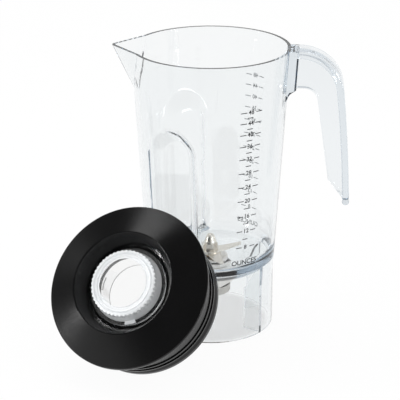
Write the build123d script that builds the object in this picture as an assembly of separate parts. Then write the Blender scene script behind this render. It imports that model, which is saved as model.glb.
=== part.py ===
from build123d import *
import os
from math import atan, cos, degrees, radians, sin, sqrt, tan

# A clear blender jar, marked to 48 fluid ounces, with its cutter, rubber lid and filler cap. Millimetres.
# The origin is on the jar's axis, on the surface that the jar stands on. +X points to the handle,
# -X to the spout and -Y to the front. The lid is off the jar and leans on its front wall.

# Jar moulding
JAR_HEIGHT = 250.0
MOUTH_RADIUS = 67.4
SKIRT_RADIUS = 55.4
SKIRT_HEIGHT = 50.0
WALL = 2.8
FLOOR_TOP = 56.0
FLOOR_THICKNESS = 5.0
BOWL_RADIUS = 22.0

# Flutes pressed into the front and rear walls, to the spout's side
FLUTE_AZIMUTH = 28.5
FLUTE_DEPTH = 11.0
FLUTE_HALF_WIDTH = 25.0
FLUTE_CROWN = 193.5
FLUTE_FOOT = 58.0
FLUTE_SLOPE = 48.0
FLUTE_ROUND = 6.0
FLUTE_EDGE_ROUND = 8.0

# Pouring spout
SPOUT_REACH = 85.5
SPOUT_DROP = 40.5
SPOUT_TIP_ROUND = 6.5
SPOUT_SECTIONS = 4

# Handle: a web with a wide flange along its outer edge
GRIP_REACH = 120.0
GRIP_LEAN = 4.8
GRIP_BOW = 1.6
GRIP_LENGTH = 135.0
GRIP_SHOULDER_RADIUS = 38.0
FLANGE_WIDTH = 26.0
FLANGE_THICKNESS = 6.0
FLANGE_EDGE_ROUND = 1.6
FLANGE_TIP_FLAT = 0.4
WEB_THICKNESS = 11.0
WEB_EDGE_ROUND = 2.0
ARCH_DROP = 34.0
ARCH_REACH = 89.0
ARCH_ROUND = 12.0
ROOT_ROUND = 9.0
ROOT_TOE = 18.0
WEB_END_DROP = 115.0
WEB_END_REACH = 101.2
WEB_CUT_DROP = 131.5
ROOT_PAD = 7.2
ROOT_PAD_ROUND = 5.0

# Fins inside the skirt
FIN_INNER_RADIUS = 37.0
FIN_KNEE_HEIGHT = 39.0
FIN_TOP_RADIUS = 50.0
FIN_THICKNESS = 3.0
FIN_ANGLE = 32.0

# Cutter: housing, seal and bearings
STEM_RADIUS = 11.0
STEM_CLEARANCE = 0.2
GASKET_THICKNESS = 1.0
HOUSING_FLANGE_RADIUS = 15.4
HOUSING_FLANGE_HEIGHT = 4.0
HOUSING_BOTTOM_WALL = 1.2
SEAL_THICKNESS = 4.0
SEAL_SETBACK = 0.5
SEAL_RADIUS = 8.0
SEAL_LAND = 1.0
BEARING_RADIUS = 8.0
BEARING_WIDTH = 5.0
BEARING_SPACING = 6.5
RING_THICKNESS = 1.3
BALL_RADIUS = 1.2
BALL_COUNT = 9
BALL_CLEARANCE = 0.04
CLIP_THICKNESS = 1.0
CLIP_RING = 1.6
CLIP_GROOVE = 0.6
CLIP_GAP = 5.0
CLAMP_NUT_HEIGHT = 13.8
CLAMP_NUT_FLATS = 33.0

# Cutter: spinning pieces
SHAFT_RADIUS = 4.0
JOURNAL_RADIUS = 5.0
RUNNING_CLEARANCE = 0.05
BLADE_LIFT = 1.0
THRUST_WASHER_RADIUS = 9.0
THRUST_WASHER_THICKNESS = 1.0
BLADE_THICKNESS = 1.6
BLADE_REACH = 27.0
BLADE_HUB_RADIUS = 9.5
BLADE_ROOT_WIDTH = 15.0
BLADE_TIP_WIDTH = 7.0
UPPER_BLADE_BEND_ANGLE = 14.0
LOWER_BLADE_BEND_ANGLE = 10.0
UPPER_BLADE_ANGLE = 8.0
LOWER_BLADE_ANGLE = -68.0
BLADE_WASHER_RADIUS = 7.0
BLADE_WASHER_THICKNESS = 1.2
NUT_FLATS = 11.0
NUT_HEX_HEIGHT = 4.5
NUT_DOME_RADIUS = 5.3
NUT_DOME_HEIGHT = 8.6
NUT_DOME_FULLNESS = 0.8
CLUTCH_RADIUS = 17.5
CLUTCH_BOTTOM = 27.5
CLUTCH_CLEARANCE = 0.6
CLUTCH_SOCKET_RADIUS = 9.0
CLUTCH_SOCKET_DEPTH = 6.0
CLUTCH_TEETH = 8
CLUTCH_TOOTH = 1.6

# Lid, measured from the top of its flange's edge along its own axis
LID_FLANGE_RADIUS = 68.9
LID_FLANGE_EDGE = 4.0
LID_CROWN_RADIUS = 42.7
LID_CROWN_HEIGHT = 13.2
LID_CROWN_ROUND = 1.0
LID_CROWN_BACKING = 6.0
LID_EDGE_ROUND = 1.3
LID_LEDGE_SHARE = 13 / 75
LID_WALL = 4.0
LID_ROOF_THICKNESS = 4.8
RECESS_FOOT_RADIUS = 34.4
SEAT_DROP = 2.0
SEAT_THICKNESS = 3.0
PLUG_RADIUS = 61.4
PLUG_DEPTH = 45.2
PLUG_FIN_DEPTHS = (29.0, 35.5)
PLUG_FIN_RADIUS = 62.3
PLUG_FIN_HEIGHT = 1.6
LIP_RADIUS = 62.6
LIP_HEIGHT = 3.4
LID_TILT = 51.2
LID_FACING = 20.3
LID_BEARING = 27.9
LEAN_GAP = 0.3
LEAN_STEPS = 5

# Filler cap
CAP_FLANGE_RADIUS = 32.7
CAP_FLANGE_THICKNESS = 2.5
CAP_GRIP_RADIUS = 27.5
CAP_GRIP_HEIGHT = 6.0
CAP_TOP_RADIUS = 21.0
CAP_TOP_RISE = 1.5
CAP_PLUG_RADIUS = 26.0
CAP_PLUG_DEPTH = 22.0
CAP_WALL = 2.4
CAP_CLEARANCE = 0.4
CAP_SEAT_GAP = 0.05
CAP_GRIP_TEETH = 48
CAP_GRIP_TOOTH = 0.9
CAP_TAB_WIDTH = 9.0
CAP_TAB_HEIGHT = 1.6
CAP_TAB_ANGLE = -97.0
LUG_REACH = 2.2
LUG_HEIGHT = 3.0
LUG_ARC = 24.0
LUG_TURN = 45.0

# Room by which a cutting solid runs past the piece that it cuts, and how near an edge lies to its face
PAST = 8.0
NEAR = 0.7

taper = atan((MOUTH_RADIUS - SKIRT_RADIUS) / (JAR_HEIGHT - SKIRT_HEIGHT))
wall_level = WALL / cos(taper)
floor_bottom = FLOOR_TOP - FLOOR_THICKNESS
skirt_bore = SKIRT_RADIUS - WALL
arch_height = JAR_HEIGHT - ARCH_DROP
grip_bottom = JAR_HEIGHT - GRIP_LENGTH
grip_corner = Vector(GRIP_REACH - GRIP_LENGTH * tan(radians(GRIP_LEAN)), JAR_HEIGHT)


def wall_radius(height):
    """Outer radius of the chamber's tapered wall at a height."""
    return SKIRT_RADIUS + (height - SKIRT_HEIGHT) * tan(taper)


def rounded_face(lines, rounds):
    """Face inside closed lines; rounds holds (corner, radius) pairs."""
    face = make_face(lines).face()
    for point, radius in rounds:
        corner = min(face.vertices(), key=lambda v: (Vector(*point) - Vector(v.X, v.Y)).length)
        face = face.fillet_2d(radius, [corner])
    return face


def turned(points, rounds=()):
    """Solid of revolution about Z from (radius, height) points; rounds holds (point, radius) pairs."""
    return revolve(Plane.XZ * rounded_face(Polyline(*points, close=True), rounds), Axis.Z)


def ring(outer, inner, bottom, height):
    """Flat ring on the Z axis."""
    return turned([(inner, bottom), (outer, bottom), (outer, bottom + height), (inner, bottom + height)])


def disc(radius, bottom, height):
    """Plain cylinder on the Z axis."""
    return Pos(0, 0, bottom) * Cylinder(radius, height, align=(Align.CENTER, Align.CENTER, Align.MIN))


def flute_cutter(inset, foot):
    """Arched tapering block that presses one flute; inset grows it by the wall for the inner face."""
    middle = wall_radius(FLUTE_FOOT)
    draft = radians(FLUTE_SLOPE)
    corner = inset * tan(radians(90 - FLUTE_SLOPE) / 2)
    spread = FLUTE_DEPTH * tan(draft)
    half = FLUTE_HALF_WIDTH - spread + corner
    crown = FLUTE_CROWN - spread + corner - FLUTE_FOOT
    base = foot + spread - FLUTE_FOOT
    seat = Plane(origin=(middle - FLUTE_DEPTH - inset, 0, FLUTE_FOOT), x_dir=(0, 1, 0),
                 z_dir=(cos(taper), 0, -sin(taper)))
    arch = make_face([Line((-half, base), (half, base)), Line((half, base), (half, crown - half)),
                      ThreePointArc((half, crown - half), (0, crown), (-half, crown - half)),
                      Line((-half, crown - half), (-half, base))])
    block = extrude(seat * arch, FLUTE_DEPTH + inset + PAST, taper=-FLUTE_SLOPE)
    deep = block.faces().sort_by(Axis.X)[0]
    return fillet(deep.edges(), FLUTE_ROUND + inset)


def flutes(inset, foot):
    """Both flutes, mirrored about the plane of the spout and the handle."""
    cutter = flute_cutter(inset, foot)
    return [Rot(0, 0, side * (90 + FLUTE_AZIMUTH)) * cutter for side in (-1, 1)]


def spout_section(share, inset):
    """V-shaped level section of the spout, its sides touching the middle of the wall's thickness.
    share runs from 0 at the rim to 1 where the spout leaves the wall."""
    height = JAR_HEIGHT - share * SPOUT_DROP
    radius = wall_radius(height) - WALL / 2
    foot_tip = wall_radius(JAR_HEIGHT - SPOUT_DROP) - WALL / 4
    tip = SPOUT_REACH + share * (foot_tip - SPOUT_REACH)
    back = Vector(-radius ** 2 / tip, radius * sqrt(1 - (radius / tip) ** 2))
    shift = inset * tip / radius
    points = [(shift - tip, 0), (back.X + shift, back.Y), (0, back.Y), (0, -back.Y),
              (back.X + shift, -back.Y)]
    face = make_face(Polyline(*points, close=True)).face()
    front = min(face.vertices(), key=lambda v: v.X)
    return Pos(0, 0, height) * face.fillet_2d(SPOUT_TIP_ROUND - inset, [front])


def spout_body(inset, rise):
    """Spout from where it leaves the wall up to the rim, and on up by rise."""
    sections = [spout_section(step / (SPOUT_SECTIONS - 1), inset) for step in range(SPOUT_SECTIONS)]
    body = loft(sections, ruled=True)
    return body + extrude(sections[0], rise, dir=(0, 0, 1)) if rise else body


def make_chamber():
    """The space inside the jar, above its floor."""
    top = JAR_HEIGHT + PAST
    low_radius = wall_radius(FLOOR_TOP) - wall_level
    cone = turned([(0, FLOOR_TOP), (low_radius, FLOOR_TOP), (wall_radius(top) - wall_level, top), (0, top)],
                  [((low_radius, FLOOR_TOP), BOWL_RADIUS)])
    return cone + spout_body(WALL, PAST) - flutes(WALL, floor_bottom - PAST)


def fluted_cone():
    """Outer form of the jar's wall and skirt with its flutes, solid throughout and with sharp edges."""
    cone = turned([(0, 0), (SKIRT_RADIUS, 0), (SKIRT_RADIUS, SKIRT_HEIGHT), (MOUTH_RADIUS, JAR_HEIGHT),
                   (0, JAR_HEIGHT)])
    return cone - flutes(0, FLUTE_FOOT)


def round_flutes(jar):
    """Round the edges at which the flutes leave the outer and the inner wall."""
    outer = jar.faces().filter_by(GeomType.CONE).sort_by(SortBy.AREA)[-1]
    jar = fillet([edge for wire in outer.inner_wires() for edge in wire.edges()], FLUTE_EDGE_ROUND)
    inner = jar.faces().filter_by(GeomType.CONE).sort_by(SortBy.AREA)[-2]
    crowns = [edge for edge in inner.edges() if abs(edge.center().Z - FLUTE_CROWN) < FLUTE_ROUND]
    return fillet(crowns, FLUTE_EDGE_ROUND - WALL)


def flange_profile():
    """Side face of the handle's outer strip: along the rim, round the shoulder and down the grip."""
    foot = Vector(GRIP_REACH, grip_bottom)
    bow = (foot + grip_corner) / 2 + Vector(GRIP_BOW, 0)
    back = Vector(FLANGE_THICKNESS, 0)
    inner_corner = grip_corner - Vector(FLANGE_THICKNESS, FLANGE_THICKNESS)
    start = Vector(0, JAR_HEIGHT)
    end = Vector(0, JAR_HEIGHT - FLANGE_THICKNESS)
    lines = [Line(start, grip_corner), ThreePointArc(grip_corner, bow, foot), Line(foot, foot - back),
             ThreePointArc(foot - back, bow - back, inner_corner), Line(inner_corner, end), Line(end, start)]
    return Plane.XZ * rounded_face(lines, [(grip_corner, GRIP_SHOULDER_RADIUS),
                                           (inner_corner, GRIP_SHOULDER_RADIUS - FLANGE_THICKNESS)])


def web_profile():
    """Side face of the web, from the middle of the flange to the arch over the hand."""
    middle = FLANGE_THICKNESS / 2
    top = JAR_HEIGHT - middle
    corner = (grip_corner.X - middle, top)
    cut = JAR_HEIGHT - WEB_CUT_DROP
    crown = (ARCH_REACH, arch_height)
    root = (wall_radius(arch_height), arch_height)
    toe = arch_height - ROOT_TOE
    points = [(0, top), corner, (GRIP_REACH - middle, cut), (GRIP_REACH - FLANGE_THICKNESS, cut),
              (WEB_END_REACH, JAR_HEIGHT - WEB_END_DROP), crown, root, (wall_radius(toe), toe), (0, toe)]
    return Plane.XZ * rounded_face(Polyline(*points, close=True), [
        (corner, GRIP_SHOULDER_RADIUS - middle), (crown, ARCH_ROUND), (root, ROOT_ROUND)])


def long_edges(bar, half_width):
    """Edges along both sides of a bar that is level across Y, clear of its end inside the jar."""
    side = [edge for edge in bar.edges() if abs(abs(edge.center().Y) - half_width) < NEAR]
    return [edge for edge in side if edge.center().X > SKIRT_RADIUS]


def make_handle(body):
    """Handle that hangs from the top of the wall, trimmed to the jar's outer face."""
    flange = extrude(flange_profile(), FLANGE_WIDTH / 2, both=True)
    tip = flange.edges().filter_by(Axis.Y).group_by(Axis.Z)[0]
    flange = fillet(tip, FLANGE_THICKNESS / 2 - FLANGE_TIP_FLAT)
    flange = fillet(long_edges(flange, FLANGE_WIDTH / 2), FLANGE_EDGE_ROUND)
    web = extrude(web_profile(), WEB_THICKNESS / 2, both=True)
    free = [edge for edge in long_edges(web, WEB_THICKNESS / 2)
            if not flange.solid().is_inside(edge.center())]
    web = fillet(free, WEB_EDGE_ROUND)
    return flange + web + make_root_pad() - body


def make_root_pad():
    """Pad along the wall, as wide as the flange, from which the handle springs."""
    top = JAR_HEIGHT - FLANGE_THICKNESS / 2
    low = arch_height - ROOT_ROUND
    points = [(0, low), (wall_radius(low) + ROOT_PAD, low), (wall_radius(top) + ROOT_PAD, top), (0, top)]
    strip = extrude(Plane.XZ * make_face(Polyline(*points, close=True)), FLANGE_WIDTH / 2, both=True)
    strip = fillet(long_edges(strip, FLANGE_WIDTH / 2), ROOT_PAD_ROUND)
    return strip & extrude(web_profile(), FLANGE_WIDTH / 2, both=True)


def make_fins():
    """Radial fins under the floor that guide the jar onto its drive."""
    bowl_centre = Vector(wall_radius(FLOOR_TOP) - wall_level - BOWL_RADIUS, FLOOR_TOP + BOWL_RADIUS)
    under = sqrt((BOWL_RADIUS + FLOOR_THICKNESS) ** 2 - (FIN_TOP_RADIUS - bowl_centre.X) ** 2)
    top = bowl_centre.Y - under + FLOOR_THICKNESS / 2
    edge = skirt_bore + WALL / 2
    side = make_face(Polyline((edge, 0), (FIN_INNER_RADIUS, 0), (FIN_INNER_RADIUS, FIN_KNEE_HEIGHT),
                              (FIN_TOP_RADIUS, top), (edge, top), close=True))
    fin = extrude(Plane.XZ * side, FIN_THICKNESS / 2, both=True)
    return [Rot(0, 0, turn) * fin for turn in (FIN_ANGLE, -FIN_ANGLE, 180 - FIN_ANGLE, 180 + FIN_ANGLE)]


def make_jar(body):
    """Jar with its chamber, floor, skirt, fins and handle, moulded in one piece."""
    high = FLOOR_TOP + BOWL_RADIUS
    bowl_radius = wall_radius(FLOOR_TOP) - wall_level + FLOOR_THICKNESS
    top = high + PAST
    bowl = turned([(0, floor_bottom), (bowl_radius, floor_bottom), (bowl_radius, top), (0, top)],
                  [((bowl_radius, floor_bottom), BOWL_RADIUS + FLOOR_THICKNESS)])
    skirt_space = disc(skirt_bore, -PAST, high + PAST) - bowl
    hole = disc(STEM_RADIUS + STEM_CLEARANCE, floor_bottom - PAST, FLOOR_THICKNESS + 2 * PAST)
    plain = body + make_handle(body) - make_chamber() - skirt_space + make_fins() - hole
    return round_flutes(plain)


# Heights of the cutter's stack, worked out from the floor
housing_seat = FLOOR_TOP + GASKET_THICKNESS
housing_top = housing_seat + HOUSING_FLANGE_HEIGHT
seal_bottom = housing_top - SEAL_SETBACK - SEAL_THICKNESS
upper_bearing_bottom = seal_bottom - SEAL_LAND - BEARING_WIDTH
lower_bearing_bottom = upper_bearing_bottom - BEARING_SPACING - BEARING_WIDTH
clip_bottom = lower_bearing_bottom - CLIP_THICKNESS
housing_bottom = clip_bottom - HOUSING_BOTTOM_WALL
blade_seat = housing_top + BLADE_LIFT
lower_blade_bottom = blade_seat + THRUST_WASHER_THICKNESS
upper_blade_bottom = lower_blade_bottom + BLADE_THICKNESS
blade_washer_bottom = upper_blade_bottom + BLADE_THICKNESS
nut_bottom = blade_washer_bottom + BLADE_WASHER_THICKNESS
clutch_top = housing_bottom - CLUTCH_CLEARANCE
clutch_floor = CLUTCH_BOTTOM + CLUTCH_SOCKET_DEPTH
ball_pitch = (BEARING_RADIUS + SHAFT_RADIUS) / 2


def make_gasket():
    """Rubber ring between the housing's flange and the floor."""
    return ring(HOUSING_FLANGE_RADIUS, STEM_RADIUS, FLOOR_TOP, GASKET_THICKNESS)


def make_housing():
    """Flanged sleeve through the floor, bored for the seal, the bearings and their clip."""
    blank = turned([(0, housing_bottom), (STEM_RADIUS, housing_bottom), (STEM_RADIUS, housing_seat),
                    (HOUSING_FLANGE_RADIUS, housing_seat), (HOUSING_FLANGE_RADIUS, housing_top),
                    (0, housing_top)],
                   [((HOUSING_FLANGE_RADIUS, housing_top), HOUSING_FLANGE_HEIGHT / 2)])
    seal_pocket = disc(SEAL_RADIUS, seal_bottom, SEAL_THICKNESS + PAST)
    land_bore = disc(BEARING_RADIUS - RING_THICKNESS, housing_bottom, seal_bottom - housing_bottom)
    bearing_bore = disc(BEARING_RADIUS, housing_bottom, seal_bottom - SEAL_LAND - housing_bottom)
    groove = disc(BEARING_RADIUS + CLIP_GROOVE, clip_bottom, CLIP_THICKNESS)
    return blank - seal_pocket - land_bore - bearing_bore - groove


def make_seal():
    """Lip seal that runs on the shaft's journal."""
    return ring(SEAL_RADIUS, JOURNAL_RADIUS + RUNNING_CLEARANCE, seal_bottom, SEAL_THICKNESS)


def ball_track(bottom):
    """Groove that the balls run in."""
    return Pos(0, 0, bottom + BEARING_WIDTH / 2) * Torus(ball_pitch, BALL_RADIUS + BALL_CLEARANCE)


def outer_ring(bottom):
    """Outer ring of a bearing."""
    return ring(BEARING_RADIUS, BEARING_RADIUS - RING_THICKNESS, bottom, BEARING_WIDTH) - ball_track(bottom)


def inner_ring(bottom):
    """Inner ring of a bearing, tight on the shaft."""
    return ring(SHAFT_RADIUS + RING_THICKNESS, SHAFT_RADIUS, bottom, BEARING_WIDTH) - ball_track(bottom)


def balls(bottom):
    """The ball set of a bearing."""
    ball = Pos(ball_pitch, 0, bottom + BEARING_WIDTH / 2) * Sphere(BALL_RADIUS)
    return Compound([Rot(0, 0, step * 360 / BALL_COUNT) * ball for step in range(BALL_COUNT)])


def make_spacer():
    """Sleeve that keeps the two inner rings apart."""
    bottom = lower_bearing_bottom + BEARING_WIDTH
    return ring(SHAFT_RADIUS + RING_THICKNESS, SHAFT_RADIUS, bottom, BEARING_SPACING)


def make_clip():
    """Open spring ring in the housing's groove, under the lower bearing."""
    outer = BEARING_RADIUS + CLIP_GROOVE
    whole = ring(outer, outer - CLIP_RING, clip_bottom, CLIP_THICKNESS)
    return whole - Pos(outer, 0, clip_bottom) * Box(2 * CLIP_RING + PAST, CLIP_GAP, PAST)


def hexagon(flats, bottom, height):
    """Six-sided bar on the Z axis, measured across its flats."""
    outline = RegularPolygon(flats / 2, 6, major_radius=False)
    return extrude(Pos(0, 0, bottom) * outline, height, dir=(0, 0, 1))


def make_clamp_nut():
    """Hexagon nut that clamps the housing to the floor from below."""
    bottom = floor_bottom - CLAMP_NUT_HEIGHT
    return hexagon(CLAMP_NUT_FLATS, bottom, CLAMP_NUT_HEIGHT) - disc(STEM_RADIUS, bottom, CLAMP_NUT_HEIGHT)


def make_shaft():
    """Shaft with its journal under the seal and its step that the blades sit on."""
    top = nut_bottom + NUT_HEX_HEIGHT
    journal = upper_bearing_bottom + BEARING_WIDTH
    return turned([(0, clutch_floor), (SHAFT_RADIUS, clutch_floor), (SHAFT_RADIUS, journal),
                   (JOURNAL_RADIUS, journal), (JOURNAL_RADIUS, blade_seat), (SHAFT_RADIUS, blade_seat),
                   (SHAFT_RADIUS, top), (0, top)])


def make_blade(bottom, bend, turn):
    """Two-winged cutter: a bent strip trimmed to the blade's plan."""
    rise = (BLADE_REACH - BLADE_HUB_RADIUS) * tan(radians(bend))
    lower = [(-BLADE_REACH, rise), (-BLADE_HUB_RADIUS, 0), (BLADE_HUB_RADIUS, 0), (BLADE_REACH, rise)]
    upper = [(x, z + BLADE_THICKNESS) for x, z in reversed(lower)]
    strip = extrude(Plane.XZ * make_face(Polyline(*lower, *upper, close=True)), BLADE_HUB_RADIUS, both=True)
    root = BLADE_ROOT_WIDTH / 2
    tip = BLADE_TIP_WIDTH / 2
    wings = Polyline((-BLADE_REACH, -tip), (0, -root), (BLADE_REACH, 0), (BLADE_REACH, tip), (0, root),
                     (-BLADE_REACH, 0), close=True)
    plan = make_face(wings) + Circle(BLADE_HUB_RADIUS) - Circle(SHAFT_RADIUS)
    low = min(rise, 0) - PAST
    trim = extrude(Pos(0, 0, low) * plan, abs(rise) + BLADE_THICKNESS + 2 * PAST, dir=(0, 0, 1))
    return Pos(0, 0, bottom) * Rot(0, 0, turn) * (strip & trim)


def make_cap_nut():
    """Acorn nut over the end of the shaft."""
    base = nut_bottom + NUT_HEX_HEIGHT
    middle = (NUT_DOME_RADIUS * NUT_DOME_FULLNESS, base + NUT_DOME_HEIGHT / 2)
    crown = (0, base + NUT_DOME_HEIGHT)
    side = make_face([Line((0, base), (NUT_DOME_RADIUS, base)), Spline((NUT_DOME_RADIUS, base), middle, crown,
                      tangents=[(0, 1), (-1, 0)]), Line(crown, (0, base))])
    dome = revolve(Plane.XZ * side, Axis.Z)
    bore = disc(SHAFT_RADIUS, nut_bottom, NUT_HEX_HEIGHT)
    return hexagon(NUT_FLATS, nut_bottom, NUT_HEX_HEIGHT) + dome - bore


def make_clutch():
    """Drive coupling under the jar, with a toothed socket for the motor's spline."""
    blank = disc(CLUTCH_RADIUS, CLUTCH_BOTTOM, clutch_top - CLUTCH_BOTTOM)
    socket = disc(CLUTCH_SOCKET_RADIUS, CLUTCH_BOTTOM, CLUTCH_SOCKET_DEPTH)
    slot = Pos(CLUTCH_SOCKET_RADIUS, 0, CLUTCH_BOTTOM) * Cylinder(
        CLUTCH_TOOTH, CLUTCH_SOCKET_DEPTH, align=(Align.CENTER, Align.CENTER, Align.MIN))
    slots = [Rot(0, 0, step * 360 / CLUTCH_TEETH) * slot for step in range(CLUTCH_TEETH)]
    return blank - socket - slots - disc(SHAFT_RADIUS, clutch_floor, clutch_top - clutch_floor)


def sector(arc, reach):
    """Wedge about +X, tall enough for the lid and the cap."""
    half = radians(arc) / 2
    far = 2 * reach
    corner = make_face(Polyline((0, 0), (far, -far * tan(half)), (far, far * tan(half)), close=True))
    return extrude(corner, PLUG_DEPTH, both=True)


def lug_slots():
    """Notches in the lid's seat that the filler cap's lugs drop through."""
    reach = CAP_PLUG_RADIUS + LUG_REACH + CAP_CLEARANCE
    arc = LUG_ARC + 2 * degrees(CAP_CLEARANCE / reach)
    blank = disc(reach, -SEAT_DROP - SEAT_THICKNESS - PAST, SEAT_THICKNESS + 2 * PAST)
    return [Rot(0, 0, LUG_TURN + half) * (blank & sector(arc, reach)) for half in (0, 180)]


def make_lid():
    """Rubber lid about its own Z axis: flange, raised crown, recess for the cap, and plug with its lips."""
    crown = (LID_CROWN_RADIUS, LID_CROWN_HEIGHT)
    rim = (LID_FLANGE_RADIUS, 0)
    rim_low = (LID_FLANGE_RADIUS, -LID_FLANGE_EDGE)
    seat_top = -SEAT_DROP
    seat_low = seat_top - SEAT_THICKNESS
    hole = CAP_PLUG_RADIUS + CAP_CLEARANCE
    bore = PLUG_RADIUS - LID_WALL
    slope = LID_CROWN_HEIGHT / (LID_FLANGE_RADIUS - LID_CROWN_RADIUS)
    points = [rim, crown, (RECESS_FOOT_RADIUS, seat_top), (hole, seat_top), (hole, seat_low),
              (RECESS_FOOT_RADIUS + LID_WALL, seat_low),
              (LID_CROWN_RADIUS + LID_WALL / 2, LID_CROWN_HEIGHT - LID_CROWN_BACKING),
              (bore, (LID_FLANGE_RADIUS - bore) * slope - LID_ROOF_THICKNESS), (bore, -PLUG_DEPTH),
              (LIP_RADIUS, -PLUG_DEPTH), (LIP_RADIUS, LIP_HEIGHT - PLUG_DEPTH),
              (PLUG_RADIUS, 2 * LIP_HEIGHT - PLUG_DEPTH), (PLUG_RADIUS, -LID_FLANGE_EDGE), rim_low]
    # The lower edge is rounded by a share of the ledge between flange and plug
    low_round = (LID_FLANGE_RADIUS - PLUG_RADIUS) * LID_LEDGE_SHARE
    shell = turned(points, [(crown, LID_CROWN_ROUND), (rim, LID_EDGE_ROUND), (rim_low, low_round)])
    fins = [ring(PLUG_FIN_RADIUS, bore, -depth - PLUG_FIN_HEIGHT / 2, PLUG_FIN_HEIGHT)
            for depth in PLUG_FIN_DEPTHS]
    return shell + fins - lug_slots()


def make_cap():
    """Clear filler cap about the lid's axis: top, toothed grip, flange, plug wall and two bayonet lugs."""
    flange_low = CAP_SEAT_GAP - SEAT_DROP
    flange_top = flange_low + CAP_FLANGE_THICKNESS
    grip_top = flange_top + CAP_GRIP_HEIGHT
    top = grip_top + CAP_TOP_RISE
    inner = CAP_PLUG_RADIUS - CAP_WALL
    shell = turned([(0, top), (CAP_TOP_RADIUS, top), (CAP_TOP_RADIUS + CAP_TOP_RISE, grip_top),
                    (CAP_GRIP_RADIUS, grip_top), (CAP_GRIP_RADIUS, flange_top),
                    (CAP_FLANGE_RADIUS, flange_top), (CAP_FLANGE_RADIUS, flange_low),
                    (CAP_PLUG_RADIUS, flange_low), (CAP_PLUG_RADIUS, -CAP_PLUG_DEPTH),
                    (inner, -CAP_PLUG_DEPTH), (inner, grip_top - CAP_WALL),
                    (CAP_TOP_RADIUS, top - CAP_WALL), (0, top - CAP_WALL)])
    tooth = Pos(CAP_GRIP_RADIUS, 0, flange_top) * extrude(
        RegularPolygon(CAP_GRIP_TOOTH, 4), CAP_GRIP_HEIGHT, dir=(0, 0, 1))
    teeth = [Rot(0, 0, step * 360 / CAP_GRIP_TEETH) * tooth for step in range(CAP_GRIP_TEETH)]
    tab = Pos((CAP_GRIP_RADIUS + CAP_FLANGE_RADIUS) / 2, 0, flange_top) * Box(
        CAP_FLANGE_RADIUS - CAP_GRIP_RADIUS, CAP_TAB_WIDTH, CAP_TAB_HEIGHT,
        align=(Align.CENTER, Align.CENTER, Align.MIN))
    lug_top = -SEAT_DROP - SEAT_THICKNESS - CAP_CLEARANCE
    reach = CAP_PLUG_RADIUS + LUG_REACH
    lug_band = ring(reach, inner, lug_top - LUG_HEIGHT, LUG_HEIGHT)
    lugs = [Rot(0, 0, half) * (lug_band & sector(LUG_ARC, reach)) for half in (0, 180)]
    return shell + teeth + lugs + Rot(0, 0, CAP_TAB_ANGLE) * tab


def lid_frame(distance):
    """Plane of the leaning lid: its lip's lowest edge on the ground, its middle at a distance."""
    tilt, facing, bearing = radians(LID_TILT), radians(LID_FACING), radians(LID_BEARING)
    normal = Vector(-sin(tilt) * sin(facing), -sin(tilt) * cos(facing), cos(tilt))
    height = PLUG_DEPTH * cos(tilt) + LIP_RADIUS * sin(tilt)
    middle = Vector(-sin(bearing) * distance, -cos(bearing) * distance, height)
    return Plane(origin=middle, x_dir=(cos(facing), -sin(facing), 0), z_dir=normal)


def lean_distance(jar):
    """Distance at which the lid, moved in from the front, has its lip's edge just clear of the jar."""
    edge = Pos(0, 0, -PLUG_DEPTH) * Edge.make_circle(LIP_RADIUS)
    distance = MOUTH_RADIUS + LID_FLANGE_RADIUS
    for _ in range(LEAN_STEPS):
        distance -= jar.distance_to(lid_frame(distance) * edge) - LEAN_GAP
    return distance


def make_parts():
    """Every piece of the jar by its name."""
    jar = make_jar(fluted_cone() + spout_body(0, 0))
    frame = lid_frame(lean_distance(jar))
    return {
        "jar": jar,
        "housing_gasket": make_gasket(),
        "bearing_housing": make_housing(),
        "shaft_seal": make_seal(),
        "upper_bearing_outer_ring": outer_ring(upper_bearing_bottom),
        "upper_bearing_inner_ring": inner_ring(upper_bearing_bottom),
        "upper_bearing_balls": balls(upper_bearing_bottom),
        "lower_bearing_outer_ring": outer_ring(lower_bearing_bottom),
        "lower_bearing_inner_ring": inner_ring(lower_bearing_bottom),
        "lower_bearing_balls": balls(lower_bearing_bottom),
        "bearing_spacer": make_spacer(),
        "bearing_clip": make_clip(),
        "clamp_nut": make_clamp_nut(),
        "drive_shaft": make_shaft(),
        "thrust_washer": ring(THRUST_WASHER_RADIUS, SHAFT_RADIUS, blade_seat, THRUST_WASHER_THICKNESS),
        "lower_blade": make_blade(lower_blade_bottom, -LOWER_BLADE_BEND_ANGLE, LOWER_BLADE_ANGLE),
        "upper_blade": make_blade(upper_blade_bottom, UPPER_BLADE_BEND_ANGLE, UPPER_BLADE_ANGLE),
        "blade_washer": ring(BLADE_WASHER_RADIUS, SHAFT_RADIUS, blade_washer_bottom, BLADE_WASHER_THICKNESS),
        "cap_nut": make_cap_nut(),
        "drive_clutch": make_clutch(),
        "lid": frame * make_lid(),
        "filler_cap": frame * make_cap(),
    }


os.makedirs("parts", exist_ok=True)
for name, piece in make_parts().items():
    export_step(piece, os.path.join("parts", name + ".step"))
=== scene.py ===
import bpy
import bmesh
import math
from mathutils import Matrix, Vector


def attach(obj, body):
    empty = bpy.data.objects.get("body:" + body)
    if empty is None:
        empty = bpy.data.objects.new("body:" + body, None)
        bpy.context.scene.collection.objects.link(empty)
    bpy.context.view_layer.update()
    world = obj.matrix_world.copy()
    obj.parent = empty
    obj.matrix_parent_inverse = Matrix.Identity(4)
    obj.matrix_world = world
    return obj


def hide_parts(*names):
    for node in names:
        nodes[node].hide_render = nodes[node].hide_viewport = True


# A clear blender jar with its steel cutter, its black rubber lid and its clear filler cap.
# Metres, in the CAD frame: +Z up the jar's axis, +X to the handle, -Y to the front.

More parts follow.
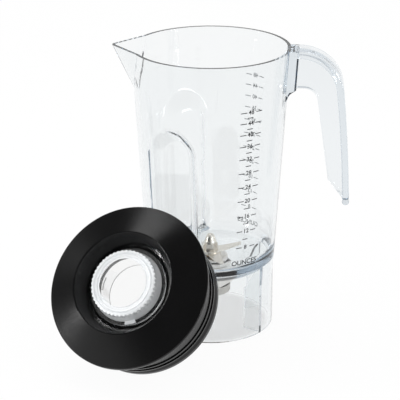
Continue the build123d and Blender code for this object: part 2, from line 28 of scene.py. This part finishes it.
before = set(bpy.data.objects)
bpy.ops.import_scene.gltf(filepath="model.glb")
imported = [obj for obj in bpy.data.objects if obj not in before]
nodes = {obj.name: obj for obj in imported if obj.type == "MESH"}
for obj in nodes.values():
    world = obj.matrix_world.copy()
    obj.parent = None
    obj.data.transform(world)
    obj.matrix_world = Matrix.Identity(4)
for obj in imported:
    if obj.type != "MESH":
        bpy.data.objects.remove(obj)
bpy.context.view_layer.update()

MM = 0.001
WHITE = (1.0, 1.0, 1.0, 1.0)
BLACK = (0.0, 0.0, 0.0, 1.0)

# Camera: a long lens a little above the rim, looking down
LENS = 135.0
SENSOR = 36.0
CAMERA_PLACE = (0.09064, -1.2156, 0.58975)
CAMERA_TURN = (math.pi / 2 - 0.374, 0.0, math.radians(4.7))

# Light that is mirrored inside the clear plastic needs many bounces to get out again
BOUNCES = 32

# Soft boxes: place, aim, size and power
SOFT_BOXES = {
    "top_box": ((-0.29, 0.29, 1.24), (-0.04, -0.05, 0.1), (0.5, 0.5), 2.2),
    "left_box": ((-0.97, -0.36, 0.2), (-0.06, -0.11, 0.08), (0.16, 0.2), 2.8),
    "right_box": ((0.85, -0.75, 0.24), (-0.03, 0.05, 0.19), (0.3, 0.2), 1.6),
}

# Paper: edges (left, right, front, back), level, and how its mirror image fades in front
PAPER = (-3.2, 3.2, -3.2, 3.2)
PAPER_LEVEL = -0.0003
PAPER_FADE = (-1.0, -0.45)
PAPER_DIM = 0.12

# Share of the paper's own white where it is seen: lower under the jar's foot and round it, a painted
# shade that darkens the paper there as well as the real shadow
FOOT_SHADE = (46.0 * MM, 55.0 * MM)
SHADE_SHARE = 0.6
GLOW_SHARE = 0.95

# Room: how bright it is in mirrors, through the plastic and as soft fill, and the directions
# over which it turns white (behind, to the right, and down to the horizon)
ROOM_LEVEL = 0.1
GLASS_ROOM_LEVEL = 0.8
FILL_LEVEL = 0.95
BEHIND_SPAN = (0.25, 0.65)
RIGHT_SPAN = (0.5, 0.9)
HORIZON_SPAN = (0.5, 0.2)

# Jar wall, as in the CAD
SKIRT_RADIUS = 55.4 * MM
SKIRT_HEIGHT = 50.0 * MM
MOUTH_RADIUS = 67.4 * MM
JAR_HEIGHT = 250.0 * MM

# Printed scale: mark heights by ounces, the column's azimuth from -Y towards +X, and its strokes
MARKS = {48: 210.0, 44: 200.5, 40: 190.5, 36: 180.2, 32: 168.8, 28: 156.4, 24: 143.7, 20: 131.1,
         16: 116.9, 12: 103.2, 8: 88.2}
SCALE_AZIMUTH = math.radians(34.9)
LEFT_TICK = (math.radians(-8.6), math.radians(-3.4))
RIGHT_TICK = (math.radians(4.2), math.radians(9.4))
HALF_TICK = (math.radians(-3.0), math.radians(1.8))
TICK_POINTS = 12
STROKE = 0.7 * MM
INK = 0.05 * MM
INK_LIFT = 0.05 * MM
MERGE = INK / 20
NUMERAL_SIZE = 5.4 * MM
WORD_SIZE = 6.2 * MM
WORD_HEIGHT = 73.8 * MM
BOLDER = 0.1 * MM
LETTER_STEPS = 6

# Filler cap in millimetres about the lid's axis: the lid's middle and axes, the cap's profile as
# (radius, level) from the top's edge out, down and up the inside, its toothed and frosted rows,
# and its tab and lugs as (inner radius, outer radius, low level, high level)
LID_MIDDLE = Vector((-59.018794, -111.467105, 77.109049)) * MM
LID_NORMAL = Vector((-0.270380125, -0.730932454, 0.626603811))
LID_ACROSS = Vector((0.937888935, -0.346935652, 0.0))
CAP_TOP = 12.0
CAP_UNDER = 9.0
CAP_PROFILE = [(20.4, 12.0), (20.9, 11.3), (22.3, 11.3), (22.8, 11.9), (24.0, 11.9), (24.4, 11.2),
               (25.2, 11.2), (25.6, 11.8), (26.6, 11.8), (27.2, 11.2), (27.2, 6.6), (27.4, 6.0),
               (28.6, 2.4), (29.6, 0.55), (32.6, 0.55), (32.6, -1.95), (26.0, -1.95),
               (26.0, -22.0), (24.6, -22.0), (24.6, 8.0), (23.8, 9.0)]
CAP_TOOTHED = (9, 10)
CAP_FROSTED = range(13)
CAP_TEETH = 48
CAP_TOOTH = 0.9
CAP_TOOTH_STEPS = 8
CAP_TAB = (29.4, 32.6, 0.55, 2.15)
CAP_TAB_TURN = math.radians(-68.0)
CAP_TAB_HALF = math.radians(8.4)
CAP_LUG = (25.9, 28.2, -8.4, -5.4)
CAP_LUG_TURNS = (0.0, math.pi)
CAP_LUG_HALF = math.radians(12.0)
CAP_SHARP = math.radians(25.0)
BLOCK_STEPS = 8
CLEAR_SLOT = 0
FROSTED_SLOT = 1


def colour(code):
    """Linear RGBA of an sRGB hex colour."""
    parts = [int(code[i:i + 2], 16) / 255 for i in (1, 3, 5)]
    return [p / 12.92 if p <= 0.04045 else ((p + 0.055) / 1.055) ** 2.4 for p in parts] + [1.0]


def node(tree, kind, inputs=None, **settings):
    """Add a node with its settings; inputs holds values or sockets to link."""
    made = tree.nodes.new(kind)
    for name, value in settings.items():
        setattr(made, name, value)
    for name, value in (inputs or {}).items():
        if isinstance(value, bpy.types.NodeSocket):
            tree.links.new(value, made.inputs[name])
        else:
            made.inputs[name].default_value = value
    return made


def maths(tree, operation, one, two):
    """Result of one sum of two values or sockets."""
    return node(tree, "ShaderNodeMath", {0: one, 1: two}, operation=operation).outputs[0]


def mapped(tree, value, to_low, to_high, span=(0.0, 1.0), way="LINEAR"):
    """A value's span mapped to another."""
    return node(tree, "ShaderNodeMapRange", {
        "Value": value, "From Min": span[0], "From Max": span[1], "To Min": to_low,
        "To Max": to_high}, interpolation_type=way).outputs["Result"]


def blended(tree, factor, one, two):
    """Mix of two colours."""
    return node(tree, "ShaderNodeMix", {"Factor": factor, "A": one, "B": two},
                data_type="RGBA").outputs["Result"]


def noise(tree, place, scale, detail):
    """Noise value at a place."""
    return node(tree, "ShaderNodeTexNoise", {"Vector": place, "Scale": scale,
                                             "Detail": detail}).outputs["Fac"]


def bumped(tree, height, strength, distance):
    """Normal of a surface with small heights on it."""
    return node(tree, "ShaderNodeBump", {"Height": height, "Strength": strength,
                                         "Distance": distance}).outputs["Normal"]


def new_material(name):
    """Empty node material, its tree and the object's own coordinates in it."""
    material = bpy.data.materials.new(name)
    material.use_nodes = True
    tree = material.node_tree
    tree.nodes.clear()
    return material, tree, node(tree, "ShaderNodeTexCoord").outputs["Object"]


def surface(tree, inputs):
    """Principled surface, linked to an output node, which is given back."""
    shader = node(tree, "ShaderNodeBsdfPrincipled", inputs)
    return node(tree, "ShaderNodeOutputMaterial", {"Surface": shader.outputs["BSDF"]})


def clear_polycarbonate(name, tint, depth_tint, density):
    """Polycarbonate from a polished mould: clear, bluer and darker where light goes a long way,
    with the faint waves of a moulded wall."""
    material, tree, place = new_material(name)
    out = surface(tree, {
        "Base Color": colour(tint), "Roughness": 0.02, "IOR": 1.5, "Transmission Weight": 1.0,
        "Normal": bumped(tree, noise(tree, place, 28.0, 1.0), 0.015, 0.002)})
    depth = node(tree, "ShaderNodeVolumeAbsorption", {"Color": colour(depth_tint),
                                                      "Density": density})
    tree.links.new(depth.outputs["Volume"], out.inputs["Volume"])
    return material


def frosted_polycarbonate():
    """Polycarbonate from a blasted mould: white and cloudy, and what lies behind it shows a little."""
    material, tree, place = new_material("frosted_polycarbonate")
    cloud = noise(tree, place, 260.0, 3.0)
    surface(tree, {
        "Base Color": blended(tree, cloud, colour("#eef2f5"), colour("#fbfcfd")),
        "Roughness": 0.22, "IOR": 1.5, "Transmission Weight": 0.25})
    return material


def satin_rubber():
    """Moulded thermoplastic rubber: near black, satin, with the fine grain of a blasted mould."""
    material, tree, place = new_material("satin_black_rubber")
    grain = noise(tree, place, 2200.0, 2.0)
    cloud = noise(tree, place, 45.0, 3.0)
    surface(tree, {
        "Base Color": blended(tree, cloud, colour("#090909"), colour("#0d0d0e")),
        "Roughness": mapped(tree, cloud, 0.2, 0.26), "IOR": 1.5, "Specular IOR Level": 0.3,
        "Normal": bumped(tree, grain, 0.12, 0.0002)})
    return material


def turned_metal(name, light, dark, roughness, rings):
    """Machined metal with fine turning rings about the jar's axis, and faint smudges."""
    material, tree, place = new_material(name)
    ring = node(tree, "ShaderNodeTexWave", {
        "Vector": place, "Scale": rings, "Distortion": 0.6, "Detail": 2.0}, wave_type="RINGS",
        rings_direction="Z").outputs["Fac"]
    smudge = noise(tree, place, 160.0, 3.0)
    surface(tree, {
        "Base Color": blended(tree, smudge, colour(dark), colour(light)), "Metallic": 1.0,
        "Roughness": mapped(tree, smudge, roughness * 0.75, roughness * 1.3),
        "Normal": bumped(tree, ring, 0.08, 0.0001)})
    return material


def printed_ink(name, dark, light):
    """Screen-printed ink: matt, a little uneven."""
    material, tree, place = new_material(name)
    speck = noise(tree, place, 900.0, 2.0)
    surface(tree, {"Base Color": blended(tree, speck, colour(dark), colour(light)),
                   "Roughness": 0.6})
    return material


def dress(names, material):
    """Give CAD nodes their finish."""
    for name in names:
        for slot in nodes[name].material_slots:
            slot.material = material


def linked(name, data):
    """New object in the scene."""
    made = bpy.data.objects.new(name, data)
    bpy.context.scene.collection.objects.link(made)
    return made


def taken_mesh(obj):
    """An object's evaluated mesh, with the object gone."""
    view = bpy.context.evaluated_depsgraph_get()
    mesh = bpy.data.meshes.new_from_object(obj.evaluated_get(view))
    bpy.data.objects.remove(obj)
    return mesh


def mesh_from(shape, name):
    """New mesh of a bmesh with its normals outward; the bmesh is freed."""
    bmesh.ops.recalc_face_normals(shape, faces=shape.faces)
    mesh = bpy.data.meshes.new(name)
    shape.to_mesh(mesh)
    shape.free()
    return mesh


def wall_radius(height):
    """Outer radius of the jar's tapered wall at a height."""
    share = (MOUTH_RADIUS - SKIRT_RADIUS) / (JAR_HEIGHT - SKIRT_HEIGHT)
    return SKIRT_RADIUS + (height - SKIRT_HEIGHT) * share


def on_wall(along, height, lift, side):
    """Point on the wall: distance along from the scale's middle, height, and lift off the surface.
    side is 1 for the front scale and -1 for the rear one; both read left to right from outside."""
    radius = wall_radius(height)
    turn = SCALE_AZIMUTH + side * along / radius
    reach = radius + lift
    return Vector((math.sin(turn) * reach, -side * math.cos(turn) * reach, height))


def printed_text(name, rows, side, material):
    """Lettering wrapped on the wall; rows holds (text, size, height)."""
    shape = bmesh.new()
    for words, size, height in rows:
        curve = bpy.data.curves.new(name + "_row", "FONT")
        curve.body = words
        curve.size = size
        curve.align_x = "CENTER"
        curve.align_y = "CENTER"
        curve.extrude = INK / 2
        curve.offset = BOLDER
        curve.resolution_u = LETTER_STEPS
        mesh = taken_mesh(linked(name + "_row", curve))
        for vert in mesh.vertices:
            lift = INK_LIFT + INK / 2 + vert.co.z
            vert.co = on_wall(vert.co.x, height + vert.co.y, lift, side)
        shape.from_mesh(mesh)
    bmesh.ops.remove_doubles(shape, verts=shape.verts, dist=MERGE)
    mesh = mesh_from(shape, name)
    mesh.materials.clear()
    mesh.materials.append(material)
    return linked(name, mesh)


def tick_tree():
    """Node tree that lays a printed arc round the wall at each point, which carries its radius."""
    tree = bpy.data.node_groups.new("printed_ticks", "GeometryNodeTree")
    sockets = tree.interface
    sockets.new_socket("Points", in_out="INPUT", socket_type="NodeSocketGeometry")
    for name in ("Start", "Sweep", "Stroke", "Ink"):
        sockets.new_socket(name, in_out="INPUT", socket_type="NodeSocketFloat")
    sockets.new_socket("Finish", in_out="INPUT", socket_type="NodeSocketMaterial")
    sockets.new_socket("Ticks", in_out="OUTPUT", socket_type="NodeSocketGeometry")
    given = node(tree, "NodeGroupInput").outputs
    arc = node(tree, "GeometryNodeCurveArc", {
        "Resolution": TICK_POINTS, "Radius": 1.0, "Start Angle": given["Start"],
        "Sweep Angle": given["Sweep"]}, mode="RADIUS")
    upright = node(tree, "GeometryNodeSetCurveNormal", {"Curve": arc.outputs["Curve"]},
                   mode="Z_UP")
    section = node(tree, "GeometryNodeCurvePrimitiveQuadrilateral", {
        "Width": given["Ink"], "Height": given["Stroke"]})
    tick = node(tree, "GeometryNodeCurveToMesh", {
        "Curve": upright.outputs["Curve"], "Profile Curve": section.outputs["Curve"],
        "Fill Caps": True})
    wall = node(tree, "GeometryNodeInputNamedAttribute", {"Name": "wall"}, data_type="FLOAT")
    radius = wall.outputs["Attribute"]
    size = node(tree, "ShaderNodeCombineXYZ", {"X": radius, "Y": radius, "Z": 1.0})
    laid = node(tree, "GeometryNodeInstanceOnPoints", {
        "Points": given["Points"], "Instance": tick.outputs["Mesh"],
        "Scale": size.outputs["Vector"]})
    real = node(tree, "GeometryNodeRealizeInstances", {"Geometry": laid.outputs["Instances"]})
    inked = node(tree, "GeometryNodeSetMaterial", {
        "Geometry": real.outputs["Geometry"], "Material": given["Finish"]})
    node(tree, "NodeGroupOutput", {"Ticks": inked.outputs["Geometry"]})
    return tree


def printed_ticks(name, tree, heights, span, side, material):
    """Ticks at some heights, over a span of angles from the scale's middle."""
    mesh = bpy.data.meshes.new(name)
    mesh.from_pydata([(0, 0, height) for height in heights], [], [])
    wall = mesh.attributes.new("wall", "FLOAT", "POINT")
    for item, height in zip(wall.data, heights):
        item.value = wall_radius(height) + INK_LIFT + INK / 2
    obj = linked(name, mesh)
    modifier = obj.modifiers.new("ticks", "NODES")
    modifier.node_group = tree
    first = SCALE_AZIMUTH + side * span[0]
    start = first - math.pi / 2 if side > 0 else math.pi / 2 - first
    values = {"Start": start, "Sweep": span[1] - span[0], "Stroke": STROKE,
              "Ink": INK / wall_radius(heights[0]), "Finish": material}
    for item in tree.interface.items_tree:
        if item.name in values:
            modifier[item.identifier] = values[item.name]
    return linked(name, taken_mesh(obj))


def lid_point(radius, turn, level):
    """Point by its radius, angle and level about the lid's axis."""
    away = LID_ACROSS * math.cos(turn) + LID_NORMAL.cross(LID_ACROSS) * math.sin(turn)
    return LID_MIDDLE + away * radius * MM + LID_NORMAL * level * MM


def add_block(shape, size, middle, half, finish):
    """Closed block of a ring about the lid's axis, to each side of a middle angle."""
    inner, outer, low, high = size
    corners = ((inner, low), (outer, low), (outer, high), (inner, high))
    rows = []
    for step in range(BLOCK_STEPS + 1):
        turn = middle - half + 2 * half * step / BLOCK_STEPS
        rows.append([shape.verts.new(lid_point(radius, turn, level)) for radius, level in corners])
    faces = [rows[0], rows[-1]]
    for one, two in zip(rows, rows[1:]):
        faces += [(one[i - 1], one[i], two[i], two[i - 1]) for i in range(len(corners))]
    for face in faces:
        shape.faces.new(face).material_index = finish


def make_cap(clear, frosted):
    """Filler cap: clear middle, flange and hollow plug, frosted grooved and serrated grip, a tab
    and two lugs."""
    shape = bmesh.new()
    steps = CAP_TEETH * CAP_TOOTH_STEPS
    rings = []
    for row, (radius, level) in enumerate(CAP_PROFILE):
        ring = []
        for step in range(steps):
            wave = 1 - abs(2 * (step % CAP_TOOTH_STEPS) / CAP_TOOTH_STEPS - 1)
            reach = radius + (row in CAP_TOOTHED) * CAP_TOOTH * wave
            ring.append(shape.verts.new(lid_point(reach, 2 * math.pi * step / steps, level)))
        rings.append(ring)
    for row, (one, two) in enumerate(zip(rings, rings[1:])):
        finish = FROSTED_SLOT if row in CAP_FROSTED else CLEAR_SLOT
        for i in range(steps):
            face = shape.faces.new((one[i - 1], one[i], two[i], two[i - 1]))
            face.material_index = finish
    for ring, level in ((rings[0], CAP_TOP), (rings[-1], CAP_UNDER)):
        middle = shape.verts.new(lid_point(0, 0, level))
        for i in range(steps):
            shape.faces.new((ring[i - 1], ring[i], middle))
    add_block(shape, CAP_TAB, CAP_TAB_TURN, CAP_TAB_HALF, FROSTED_SLOT)
    for turn in CAP_LUG_TURNS:
        add_block(shape, CAP_LUG, turn, CAP_LUG_HALF, CLEAR_SLOT)
    mesh = mesh_from(shape, "turned_filler_cap")
    mesh.shade_smooth()
    mesh.set_sharp_from_angle(angle=CAP_SHARP)
    mesh.materials.append(clear)
    mesh.materials.append(frosted)
    return linked("turned_filler_cap", mesh)


def stage_material():
    """Matt white paper: plain white where it is seen, with the object's shadow on it and a painted
    shade under and round the jar's foot, and dim in front in what is mirrored."""
    material, tree, place = new_material("white_paper")
    path = node(tree, "ShaderNodeLightPath").outputs
    glossy, through = path["Is Glossy Ray"], path["Is Transmission Ray"]
    seen = maths(tree, "MAXIMUM", maths(tree, "MAXIMUM", path["Is Camera Ray"], glossy), through)
    mirrored = maths(tree, "GREATER_THAN", glossy, through)
    depth = node(tree, "ShaderNodeSeparateXYZ", {"Vector": place}).outputs["Y"]
    front = mapped(tree, depth, 1 - PAPER_DIM, 0.0, PAPER_FADE, "SMOOTHSTEP")
    fade = maths(tree, "SUBTRACT", 1.0, maths(tree, "MULTIPLY", mirrored, front))
    away = node(tree, "ShaderNodeVectorMath", {0: place}, operation="LENGTH").outputs["Value"]
    # Painted shade: less of the paper's own glow under and round the jar's foot
    share = mapped(tree, away, SHADE_SHARE, GLOW_SHARE, FOOT_SHADE, "SMOOTHSTEP")
    share = maths(tree, "MULTIPLY", seen, share)
    white = blended(tree, fade, BLACK, colour("#f6f6f6"))
    matt = node(tree, "ShaderNodeBsdfDiffuse", {"Color": white})
    glow = node(tree, "ShaderNodeEmission", {"Color": WHITE, "Strength": fade})
    both = node(tree, "ShaderNodeMixShader", {"Fac": share, 1: matt.outputs[0], 2: glow.outputs[0]})
    node(tree, "ShaderNodeOutputMaterial", {"Surface": both.outputs[0]})
    return material


def make_stage():
    """Sheet of white paper under and behind the object."""
    mesh = bpy.data.meshes.new("paper")
    left, right, front, back = PAPER
    edges = ((left, front), (right, front), (right, back), (left, back))
    mesh.from_pydata([(x, y, PAPER_LEVEL) for x, y in edges], [], [(0, 1, 2, 3)])
    mesh.materials.append(stage_material())
    floor = linked("paper", mesh)


def make_world():
    """Studio round the object: white to the camera; white behind, to the right and through the
    plastic near the horizon; dim elsewhere in mirrors; an even fill for matt surfaces."""
    world = bpy.data.worlds.new("studio")
    bpy.context.scene.world = world
    world.use_nodes = True
    tree = world.node_tree
    tree.nodes.clear()
    path = node(tree, "ShaderNodeLightPath").outputs
    through = path["Is Transmission Ray"]
    place = node(tree, "ShaderNodeTexCoord").outputs["Generated"]
    way = node(tree, "ShaderNodeSeparateXYZ", {"Vector": place}).outputs
    behind = mapped(tree, way["Y"], 0.0, 1.0, BEHIND_SPAN, "SMOOTHSTEP")
    right = mapped(tree, way["X"], 0.0, 1.0, RIGHT_SPAN, "SMOOTHSTEP")
    low = mapped(tree, way["Z"], 0.0, 1.0, HORIZON_SPAN, "SMOOTHSTEP")
    white = maths(tree, "MAXIMUM", maths(tree, "MAXIMUM", behind, right), through)
    white = maths(tree, "MULTIPLY", white, low)
    dim = mapped(tree, through, ROOM_LEVEL, GLASS_ROOM_LEVEL)
    shown = mapped(tree, white, dim, 1.0)
    bent = maths(tree, "MAXIMUM", path["Is Glossy Ray"], through)
    soft, room, plain = (
        node(tree, "ShaderNodeBackground", {"Color": tone, "Strength": level}).outputs[0]
        for tone, level in ((WHITE, FILL_LEVEL), (shown, 1.0), (WHITE, 1.0)))
    lit = node(tree, "ShaderNodeMixShader", {"Fac": bent, 1: soft, 2: room})
    both = node(tree, "ShaderNodeMixShader", {"Fac": path["Is Camera Ray"], 1: lit.outputs[0],
                                              2: plain})
    node(tree, "ShaderNodeOutputWorld", {"Surface": both.outputs[0]})


def area_light(name, place, aim, size, power):
    """Soft box aimed at a point."""
    light = bpy.data.lights.new(name, "AREA")
    light.shape = "RECTANGLE"
    light.size, light.size_y = size
    light.energy = power
    holder = linked(name, light)
    holder.location = place
    holder.rotation_euler = (Vector(aim) - Vector(place)).to_track_quat("-Z", "Y").to_euler()


def make_camera():
    """Camera at the photograph's place."""
    lens = bpy.data.cameras.new("camera")
    lens.lens = LENS
    lens.sensor_width = SENSOR
    camera = linked("camera", lens)
    camera.location = CAMERA_PLACE
    camera.rotation_euler = CAMERA_TURN
    bpy.context.scene.camera = camera


make_camera()
make_stage()
make_world()
for name, values in SOFT_BOXES.items():
    area_light(name, *values)
bpy.context.scene.view_settings.view_transform = "Standard"
for limit in ("max_bounces", "glossy_bounces", "transmission_bounces"):
    setattr(bpy.context.scene.cycles, limit, BOUNCES)

jar_clear = clear_polycarbonate("clear_polycarbonate", "#fafbfb", "#b4c6d4", 16.0)
cap_clear = clear_polycarbonate("clear_cap_polycarbonate", "#fefefe", "#d5dadb", 8.0)
rubber = satin_rubber()
steel = turned_metal("turned_stainless_steel", "#efedea", "#dad7d3", 0.3, 1200.0)
blade = turned_metal("polished_stainless_steel", "#f3efe8", "#dcd6cc", 0.24, 500.0)
bearing = turned_metal("ground_bearing_steel", "#d8d8d8", "#b8b8b8", 0.15, 1500.0)
spring = turned_metal("oiled_spring_steel", "#77777a", "#4c4c50", 0.35, 900.0)
brass = turned_metal("plain_brass", "#c9a765", "#a98544", 0.3, 900.0)
cast = turned_metal("sintered_steel", "#d5d2cd", "#bcb9b4", 0.45, 300.0)
# The rear copy of the scale's ink is painted paler than the front: painted light for the print seen
# through the jar
inks = {"front": printed_ink("dark_printed_ink", "#16181b", "#2a2d31"),
        "rear": printed_ink("rear_ink_painted_paler", "#8d9297", "#a3a8ac")}

dress(["jar"], jar_clear)
dress(["lid", "housing_gasket", "shaft_seal"], rubber)
dress(["bearing_housing", "clamp_nut", "drive_shaft", "bearing_spacer"], steel)
dress(["upper_blade", "lower_blade", "cap_nut", "blade_washer"], blade)
dress([n for n in nodes if n.startswith(("upper_bearing", "lower_bearing"))], bearing)
dress(["bearing_clip"], spring)
dress(["thrust_washer"], brass)
dress(["drive_clutch"], cast)

heights = [height * MM for height in MARKS.values()]
halves = [(high + low) / 2 for high, low in zip(heights, heights[1:])]
rows = [(str(ounces), NUMERAL_SIZE, height) for ounces, height in zip(MARKS, heights)]
rows.append(("OUNCES", WORD_SIZE, WORD_HEIGHT))
ticks = tick_tree()
for face, side in (("front", 1), ("rear", -1)):
    ink = inks[face]
    prints = [printed_text(face + "_numerals", rows, side, ink),
              printed_ticks(face + "_left_ticks", ticks, heights, LEFT_TICK, side, ink),
              printed_ticks(face + "_right_ticks", ticks, heights, RIGHT_TICK, side, ink)]
    if face == "front":
        prints.append(printed_ticks("half_ticks", ticks, halves, HALF_TICK, side, ink))
    for piece in prints:
        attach(piece, "jar")

cap = make_cap(cap_clear, frosted_polycarbonate())
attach(cap, "filler_cap")
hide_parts("filler_cap")
